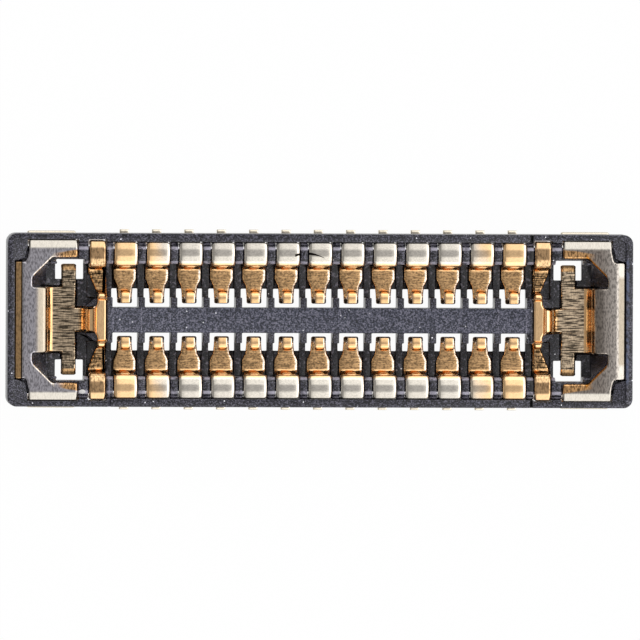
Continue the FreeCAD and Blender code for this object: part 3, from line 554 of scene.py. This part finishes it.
# The attribute "edge" marks the rolled edges of the strip for its material.
def contactMesh():
    sizes = contactSizes
    visible = contactFace(sizes["visibleFace"], sizes["insideBend"], sizes["outsideBend"])
    hidden = contactFace(sizes["hiddenFace"], sizes["outsideBend"], sizes["insideBend"])
    mesh = bmesh.new()
    edge = mesh.verts.layers.float.new("edge")
    rings = []
    for outer, inner in zip(visible, hidden):
        middle = (outer + inner) / 2
        width = contactWidth(middle.x, middle.y, outer.x)
        section = sectionPoints(width / 2, sheetMetal / 2, width * sizes["edgeRoll"], sizes["crownShares"])
        ring = [mesh.verts.new((b, *inner.lerp(outer, 0.5 + h / sheetMetal))) for b, h in section]
        for vertex, (b, h) in zip(ring, section):
            vertex[edge] = 1.0 if abs(b) > width * (0.5 - sizes["edgeRoll"] * sizes["edgeMark"]) else 0.0
        rings.append(ring)
    sweep(mesh, rings)
    addBump(mesh)
    return mesh


# An arc from the side, narrower towards its crest.
def addBump(mesh):
    sizes = bumpSizes
    half = (sizes["high"] - sizes["low"]) / 2
    reach = sizes["reach"]
    radius = (half * half + reach * reach) / (2 * reach)
    shares = [-1 + i / sizes["steps"] for i in range(2 * sizes["steps"] + 1)]
    rings = []
    for level in range(sizes["levels"] + 1):
        rise = -half + 2 * half * level / sizes["levels"]
        depth = math.sqrt(max(radius * radius - rise * rise, 0)) - (radius - reach)
        height = (sizes["high"] + sizes["low"]) / 2 + rise
        face = sizes["footFace"] + sizes["faceLean"] * (height - sizes["floorTop"])
        dips = [depth * smoothStep((1 - abs(share)) / sizes["shoulder"]) for share in shares]
        front = [(sizes["half"] * share, face - dip) for share, dip in zip(shares, dips)]
        loop = front + [(sizes["half"], face + sizes["root"]), (-sizes["half"], face + sizes["root"])]
        rings.append([mesh.verts.new((x, y, height)) for x, y in loop])
    sweep(mesh, rings)


# Geometry Nodes: one contact set out along its row, then turned into a plain mesh.
def makeContactRow(name, turned, material):
    source = toMetres(newObject(name + "Source", contactMesh()), material)
    holder = bpy.data.objects.new(name, bpy.data.meshes.new(name))
    bpy.context.scene.collection.objects.link(holder)
    tree = bpy.data.node_groups.new(name + "Nodes", "GeometryNodeTree")
    tree.interface.new_socket("Geometry", in_out="OUTPUT", socket_type="NodeSocketGeometry")
    counted = tree.interface.new_socket("Count", in_out="INPUT", socket_type="NodeSocketInt")
    spaced = tree.interface.new_socket("Pitch", in_out="INPUT", socket_type="NodeSocketFloat")
    facing = tree.interface.new_socket("Turn", in_out="INPUT", socket_type="NodeSocketFloat")
    group = addNode(tree, "NodeGroupInput")
    gaps = addNode(tree, "ShaderNodeMath", {"operation": "SUBTRACT"}, {0: group.outputs["Count"], 1: 1.0})
    reach = addNode(tree, "ShaderNodeMath", {"operation": "MULTIPLY"}, {0: gaps, 1: group.outputs["Pitch"]})
    start = addNode(tree, "ShaderNodeMath", {"operation": "MULTIPLY"}, {0: reach, 1: -0.5})
    startPoint = addNode(tree, "ShaderNodeCombineXYZ", inputs={0: start})
    stepPoint = addNode(tree, "ShaderNodeCombineXYZ", inputs={0: group.outputs["Pitch"]})
    line = addNode(tree, "GeometryNodeMeshLine", {"mode": "OFFSET"},
                   {"Count": group.outputs["Count"], "Start Location": startPoint, "Offset": stepPoint})
    shape = addNode(tree, "GeometryNodeObjectInfo", inputs={"Object": source})
    turn = addNode(tree, "ShaderNodeCombineXYZ", inputs={2: group.outputs["Turn"]})
    spread = addNode(tree, "GeometryNodeInstanceOnPoints",
                     inputs={"Points": line, "Instance": shape.outputs["Geometry"], "Rotation": turn})
    real = addNode(tree, "GeometryNodeRealizeInstances", inputs={0: spread})
    finished = addNode(tree, "GeometryNodeSetMaterial", inputs={0: real, "Material": material})
    addNode(tree, "NodeGroupOutput", inputs={0: finished})
    modifier = holder.modifiers.new("Row", "NODES")
    modifier.node_group = tree
    modifier[counted.identifier] = perRow
    modifier[spaced.identifier] = pitch * mm
    modifier[facing.identifier] = math.pi if turned else 0.0
    applyModifiers(holder)
    bpy.data.objects.remove(source)
    return holder


# Sizes without a sign are distances from the middle planes. The flares and the relief's turn are offsets
# along X and Y from the corner that they ease.
fittingSizes = {
    "plateTop": 0.53, "plateOutside": 3.293, "plateHalf": 0.634, "outerBendReach": 0.103,
    "armStart": 3.151, "armEnd": 2.622, "armOutside": 0.862, "armInside": 0.676, "armBendReach": 0.105,
    "armFlare": (0.02, 0.03), "armSlope": 0.003,
    "reliefOutside": 3.108, "reliefInside": 2.892, "reliefCorner": 0.46, "tongueHalf": 0.357,
    "reliefTurn": [(0.022, 0.025), (0.006, 0.004), (0.0, -0.02)],
    "barOutside": 2.86, "barInside": 2.622, "barLegOutside": 2.784, "barLegFace": 0.6, "barLegReach": 0.09,
    "neckHalf": 0.13, "capTop": 0.46, "capOutside": 2.405, "capInside": 2.31, "capHalf": 0.23,
    "capFlare": (0.025, 0.05),
    "strapOutside": 2.495, "strapInside": 2.318, "strapLegInside": 0.565, "strapRise": 0.297,
    "knifeStart": 0.15, "knifeReach": 0.05, "knifeMargin": 0.005, "knifeHeights": (-0.1, 0.7),
    "floorLevel": 0.09, "smallBend": 0.025, "edgeRadius": 0.024, "edgeSteps": 3, "edgeAngle": 35,
}
fittingFolds = {
    "edge": (
        [(-3.293, 0.25, 0), (-3.293, 0.507, 0.008), (-3.203, 0.53, 0.01), (-3.19, 0.53, 0)],
        [(-3.233, 0.25, 0), (-3.233, 0.47, 0.012), (-3.19, 0.47, 0)],
    ),
    "tongue": (
        [(-3.083, 0.53, 0), (-3.05, 0.53, 0.03), (-2.965, 0.502, 0.03), (-2.938, 0.44, 0.025),
         (-2.936, 0.15, 0.07), (-2.83, 0.15, 0)],
        [(-3.083, 0.47, 0), (-3.006, 0.47, 0.07), (-3.0, 0.09, 0.11), (-2.83, 0.09, 0)],
    ),
    "neck": (
        [(-2.642, 0.15, 0), (-2.53, 0.15, 0.06), (-2.53, 0.46, 0.12), (-2.405, 0.46, 0)],
        [(-2.642, 0.09, 0), (-2.47, 0.09, 0.12), (-2.47, 0.4, 0.06), (-2.405, 0.4, 0)],
    ),
    "barLeg": (
        [(0.49, 0.15, 0), (0.525, 0.15, 0.015), (0.6, 0.14, 0.008), (0.6, 0.0, 0)],
        [(0.49, 0.09, 0), (0.54, 0.09, 0.025), (0.54, 0.0, 0)],
    ),
    "arm": (
        [(0.757, 0.53, 0), (0.778, 0.53, 0.014), (0.867, 0.508, 0.008), (0.867, 0.06, 0.025),
         (0.957, 0.06, 0)],
        [(0.757, 0.47, 0), (0.802, 0.47, 0.025), (0.802, 0.0, 0.085), (0.957, 0.0, 0)],
    ),
    "strap": (
        [(0.215, 0.46, 0), (0.235, 0.46, 0.012), (0.297, 0.435, 0.03), (0.297, 0.15, 0.025),
         (0.565, 0.15, 0.05), (0.565, 0.468, 0.024), (0.606, 0.505, 0.012), (0.668, 0.52, 0.018),
         (0.782, 0.52, 0.018), (0.86, 0.5, 0.016), (0.86, 0.03, 0)],
        [(0.215, 0.4, 0), (0.237, 0.4, 0.018), (0.237, 0.09, 0.085), (0.625, 0.09, 0.11),
         (0.625, 0.46, 0.025), (0.8, 0.46, 0.025), (0.8, 0.03, 0)],
    ),
}


# A closed block with the same outline all along one axis: "x", "y" or "z".
def addPrism(parts, outline, axis, low, high):
    order = {"x": (2, 0, 1), "y": (0, 2, 1), "z": (0, 1, 2)}[axis]
    mesh = bmesh.new()
    ends = []
    for level in (low, high):
        corners = [(a, b, level) for a, b in outline]
        ends.append([mesh.verts.new([corner[i] for i in order]) for corner in corners])
    sweep(mesh, ends)
    parts.append(newObject("part", mesh))


# The side view of a folded strip, closed from its visible face and its hidden one.
def foldedOutline(visible, hidden):
    return [tuple(p) for p in roundedLine(visible)] + [tuple(p) for p in reversed(roundedLine(hidden))]


def mirrorOutline(half):
    return half + [(x, -y) for x, y in reversed(half)]


def cornerRound(centre, radius, startAngle, endAngle, arcCount=6):
    first = math.radians(startAngle)
    start = (centre[0] + radius * math.cos(first), centre[1] + radius * math.sin(first))
    return [start] + [tuple(p) for p in arcPoints(centre, radius, startAngle, endAngle, arcCount)]


# The flat parts of the left fitting, each as a plan outline with two heights.
def addFlatParts(parts):
    sizes = fittingSizes
    small = sizes["smallBend"]
    armStart, armEnd = -sizes["armStart"], -sizes["armEnd"]
    armBend = sizes["armOutside"] - sizes["armBendReach"]
    flareX, flareY = sizes["armFlare"]
    relief = -sizes["reliefOutside"]
    plate = [(-sizes["plateOutside"] + sizes["outerBendReach"], sizes["plateHalf"]),
             (armStart - flareX, sizes["plateHalf"] + flareY), (armStart, armBend), (armEnd, armBend)]
    plate += cornerRound((armEnd - small, sizes["armInside"] + small), small, 0, -90)
    plate.append((-sizes["reliefInside"], sizes["armInside"] - sizes["armSlope"]))
    plate += [(relief + x, sizes["reliefCorner"] + y) for x, y in sizes["reliefTurn"]]
    plate += cornerRound((relief + small, sizes["tongueHalf"] + small), small, 180, 270)
    addPrism(parts, mirrorOutline(plate), "z", sizes["plateTop"] - sheetMetal, sizes["plateTop"])
    barHalf = sizes["barLegFace"] - sizes["barLegReach"]
    bar = [(-sizes["barOutside"], sizes["tongueHalf"]), (-sizes["barLegOutside"], sizes["tongueHalf"]),
           (-sizes["barLegOutside"], barHalf), (-sizes["barInside"], barHalf)]
    addPrism(parts, mirrorOutline(bar), "z", sizes["floorLevel"], sizes["floorLevel"] + sheetMetal)
    flareX, flareY = sizes["capFlare"]
    outside = -sizes["capOutside"]
    cap = [(outside - flareX, sizes["neckHalf"]), (outside, sizes["capHalf"] - flareY),
           (outside, sizes["capHalf"]), (-sizes["capInside"], sizes["capHalf"])]
    addPrism(parts, mirrorOutline(cap), "z", sizes["capTop"] - sheetMetal, sizes["capTop"])


# The folded parts, each as a side view with its two ends across.
def addFoldedParts(parts):
    sizes = fittingSizes
    for fold, half in (("edge", "plateHalf"), ("tongue", "tongueHalf"), ("neck", "neckHalf")):
        addPrism(parts, foldedOutline(*fittingFolds[fold]), "y", -sizes[half], sizes[half])
    sideFolds = (("barLeg", "barLegOutside", "barInside"), ("arm", "armStart", "armEnd"))
    for way in (1, -1):
        for fold, outside, inside in sideFolds:
            side = [(way * y, z) for y, z in foldedOutline(*fittingFolds[fold])]
            addPrism(parts, side, "x", -sizes[outside], -sizes[inside])
        addStrap(parts, way)


# The strap from the cap to the long wall; it narrows on the moat floor towards the island.
def addStrap(parts, way):
    sizes = fittingSizes
    side = [(way * y, z) for y, z in foldedOutline(*fittingFolds["strap"])]
    addPrism(parts, side, "x", -sizes["strapOutside"], -sizes["strapInside"])
    beyond = -sizes["strapOutside"] - sizes["knifeReach"]
    wide = sizes["strapLegInside"] - sizes["knifeReach"]
    knife = [(beyond, sizes["knifeStart"]), (-sizes["capOutside"], sizes["knifeStart"]),
             (-sizes["capOutside"], sizes["strapRise"] + sizes["knifeMargin"]),
             (-sizes["strapOutside"], wide), (beyond, wide)]
    knives = []
    addPrism(knives, [(x, way * y) for x, y in knife], "z", *sizes["knifeHeights"])
    joinSolids(parts[-1], knives, "DIFFERENCE")


def joinSolids(body, others, operation):
    for other in others:
        modifier = body.modifiers.new("Join", "BOOLEAN")
        modifier.operation = operation
        modifier.solver = "EXACT"
        modifier.object = other
    applyModifiers(body)
    for other in others:
        bpy.data.objects.remove(other)


# Edges eased as blanking and moulding leave them, with the flat faces kept flat. Points closer than the
# weld are joined first, and edges flatter than the flat angle are dissolved.
def easeEdges(piece, sizes, weld=2e-4, flatAngle=0.5):
    mesh = bmesh.new()
    mesh.from_mesh(piece.data)
    bmesh.ops.remove_doubles(mesh, verts=mesh.verts, dist=weld)
    bmesh.ops.dissolve_limit(mesh, angle_limit=math.radians(flatAngle), verts=mesh.verts, edges=mesh.edges)
    mesh.to_mesh(piece.data)
    mesh.free()
    for polygon in piece.data.polygons:
        polygon.use_smooth = True
    bevel = piece.modifiers.new("Ease", "BEVEL")
    bevel.width = sizes["edgeRadius"]
    bevel.segments = sizes["edgeSteps"]
    bevel.limit_method = "ANGLE"
    bevel.angle_limit = math.radians(sizes["edgeAngle"])
    bevel.use_clamp_overlap = False
    bevel.harden_normals = True
    applyModifiers(piece)


# The left fitting is drawn, and the right one is the same turned half round.
def makeFitting(name, turned, material):
    parts = []
    addFlatParts(parts)
    addFoldedParts(parts)
    body, others = parts[0], parts[1:]
    joinSolids(body, others, "UNION")
    if turned:
        body.data.transform(Matrix.Rotation(math.pi, 4, "Z"))
    easeEdges(body, fittingSizes)
    body.name = name
    body.data.name = name
    return toMetres(body, material)


housingSizes = {"edgeRadius": 0.009, "edgeSteps": 2, "edgeAngle": 40}


# The housing keeps the frame's shape, with its edges eased as a mould leaves them.
def makeHousing(material):
    mesh = bmesh.new()
    mesh.from_mesh(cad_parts["housing"].data)
    bmesh.ops.scale(mesh, vec=(1 / mm, 1 / mm, 1 / mm), verts=mesh.verts)
    shell = newObject("housingShell", mesh)
    easeEdges(shell, housingSizes)
    return toMetres(shell, material)


plastic = makePlastic()
contactMetal = makeContactPlating()
fittingMetal = makeFittingPlating()
print("materials made")

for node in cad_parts.values():
    node.data.materials.clear()
    if node.name == "housing":
        node.data.materials.append(plastic)
    elif node.name.startswith("contact"):
        node.data.materials.append(contactMetal)
    else:
        node.data.materials.append(fittingMetal)

for rowName, turned in (("north", False), ("south", True)):
    row = makeContactRow("contactRow" + rowName.capitalize(), turned, contactMetal)
    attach(row, "root")
    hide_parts(*["contact_%s_%02d" % (rowName, i + 1) for i in range(perRow)])
print("contact rows made")

for endName, turned in (("left", False), ("right", True)):
    fitting = makeFitting("endFitting" + endName.capitalize(), turned, fittingMetal)
    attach(fitting, "root")
    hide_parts("end_fitting_" + endName)
print("end fittings made")

housing = makeHousing(plastic)
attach(housing, "root")
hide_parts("housing")
print("housing made")


# The floor and the light, in metres. The world is dimmer straight above, where the camera looks in, and
# brighter round the sides, like a soft tent; across, it brightens to the east.
studioLook = {
    "paper": "#f4f4f4", "glowShare": 0.97, "floorReach": 0.4, "worldStrength": 1.5,
    "riseStops": [(0.0, "#c8c8c8"), (0.4, "#ffffff"), (0.91, "#ffffff"), (0.985, "#b4b4b6")],
    "sideStops": [(0.0, "#a0a0a0"), (0.16, "#808080"), (0.3, "#8c8c8c"), (0.5, "#e8e8e8"), (0.75, "#ffffff")],
    "lamps": {
        "keyEast": {"place": (0.45, 0.02, 0.28), "size": (0.3, 0.3), "power": 0.25},
        "stripNorth": {"place": (0.0, 0.4, 0.3), "size": (0.6, 0.12), "power": 0.15},
        "stripSouth": {"place": (0.0, -0.4, 0.3), "size": (0.6, 0.12), "power": 0.15},
    },
}
cameraLook = {
    "distance": 250.0, "frameWidth": 6.904, "leanX": -3.3, "leanY": 1.3, "roll": -0.25,
    "aim": (-0.0057, 0.0091, 0.53), "sensor": 36, "near": 0.01, "far": 5,
}


# Pale paper that the camera and mirror-like metal see as plain white, and that still takes the shadow.
def makeFloorMaterial():
    look = studioLook
    material, tree = newMaterial("paleBackdropPaper")
    paper = addNode(tree, "ShaderNodeBsdfDiffuse", inputs={"Color": linearColour(look["paper"])})
    glow = addNode(tree, "ShaderNodeEmission", inputs={"Color": linearColour("#ffffff"), "Strength": 1.0})
    ray = addNode(tree, "ShaderNodeLightPath")
    mirrored = addNode(tree, "ShaderNodeMath", {"operation": "MAXIMUM"},
                       {0: ray.outputs["Is Glossy Ray"], 1: ray.outputs["Is Transmission Ray"]})
    seen = addNode(tree, "ShaderNodeMath", {"operation": "MAXIMUM"},
                   {0: ray.outputs["Is Camera Ray"], 1: mirrored})
    part = addNode(tree, "ShaderNodeMath", {"operation": "MULTIPLY"}, {0: seen, 1: look["glowShare"]})
    mixed = addNode(tree, "ShaderNodeMixShader", inputs={0: part, 1: paper, 2: glow})
    addNode(tree, "ShaderNodeOutputMaterial", inputs={"Surface": mixed})
    return material


def addFloor():
    mesh = bmesh.new()
    bmesh.ops.create_grid(mesh, x_segments=1, y_segments=1, size=studioLook["floorReach"] / mm)
    floor = toMetres(newObject("studioFloor", mesh), makeFloorMaterial(), smooth=False)


def addLamp(name, place, size, power):
    lamp = bpy.data.lights.new(name, "AREA")
    lamp.shape = "RECTANGLE"
    lamp.size, lamp.size_y = size
    lamp.energy = power
    holder = bpy.data.objects.new(name, lamp)
    bpy.context.scene.collection.objects.link(holder)
    holder.location = place
    holder.rotation_euler = (-Vector(place)).to_track_quat("-Z", "Y").to_euler()


def addWorld():
    look = studioLook
    world = bpy.data.worlds.new("softStudio")
    bpy.context.scene.world = world
    world.use_nodes = True
    tree = world.node_tree
    tree.nodes.clear()
    way = addNode(tree, "ShaderNodeTexCoord")
    parts = addNode(tree, "ShaderNodeSeparateXYZ", inputs={0: way.outputs["Generated"]})
    rise = addNode(tree, "ShaderNodeValToRGB", inputs={"Fac": parts.outputs["Z"]}, stops=look["riseStops"])
    across = addNode(tree, "ShaderNodeMath", {"operation": "MULTIPLY_ADD"},
                     {0: parts.outputs["X"], 1: 0.5, 2: 0.5})  # from -1 to 1, made 0 to 1
    side = addNode(tree, "ShaderNodeValToRGB", inputs={"Fac": across}, stops=look["sideStops"])
    light = paint(tree, {}, look, rise, [(side, 1.0, [])], "MULTIPLY")
    background = addNode(tree, "ShaderNodeBackground",
                         inputs={"Color": light, "Strength": look["worldStrength"]})
    addNode(tree, "ShaderNodeOutputWorld", inputs={"Surface": background})


def addCamera():
    look = cameraLook
    camera = bpy.data.cameras.new("photoCamera")
    camera.sensor_width = look["sensor"]
    camera.lens = look["sensor"] * look["distance"] / look["frameWidth"]
    camera.clip_start = look["near"]
    camera.clip_end = look["far"]
    holder = bpy.data.objects.new("photoCamera", camera)
    bpy.context.scene.collection.objects.link(holder)
    aim = Vector(look["aim"]) * mm
    leans = [math.tan(math.radians(look[name])) for name in ("leanX", "leanY")]
    away = Vector((*leans, 1)).normalized()
    holder.location = aim + away * look["distance"] * mm
    forward = -away
    roll = math.radians(look["roll"])
    up = Vector((math.sin(roll), math.cos(roll), 0))
    right = forward.cross(up).normalized()
    up = right.cross(forward).normalized()
    holder.rotation_euler = Matrix((right, up, -forward)).transposed().to_euler()
    bpy.context.scene.camera = holder


addFloor()
addWorld()
for lampName, lamp in studioLook["lamps"].items():
    addLamp(lampName, lamp["place"], lamp["size"], lamp["power"])
addCamera()
bpy.context.scene.view_settings.view_transform = "Standard"
print("stage set")
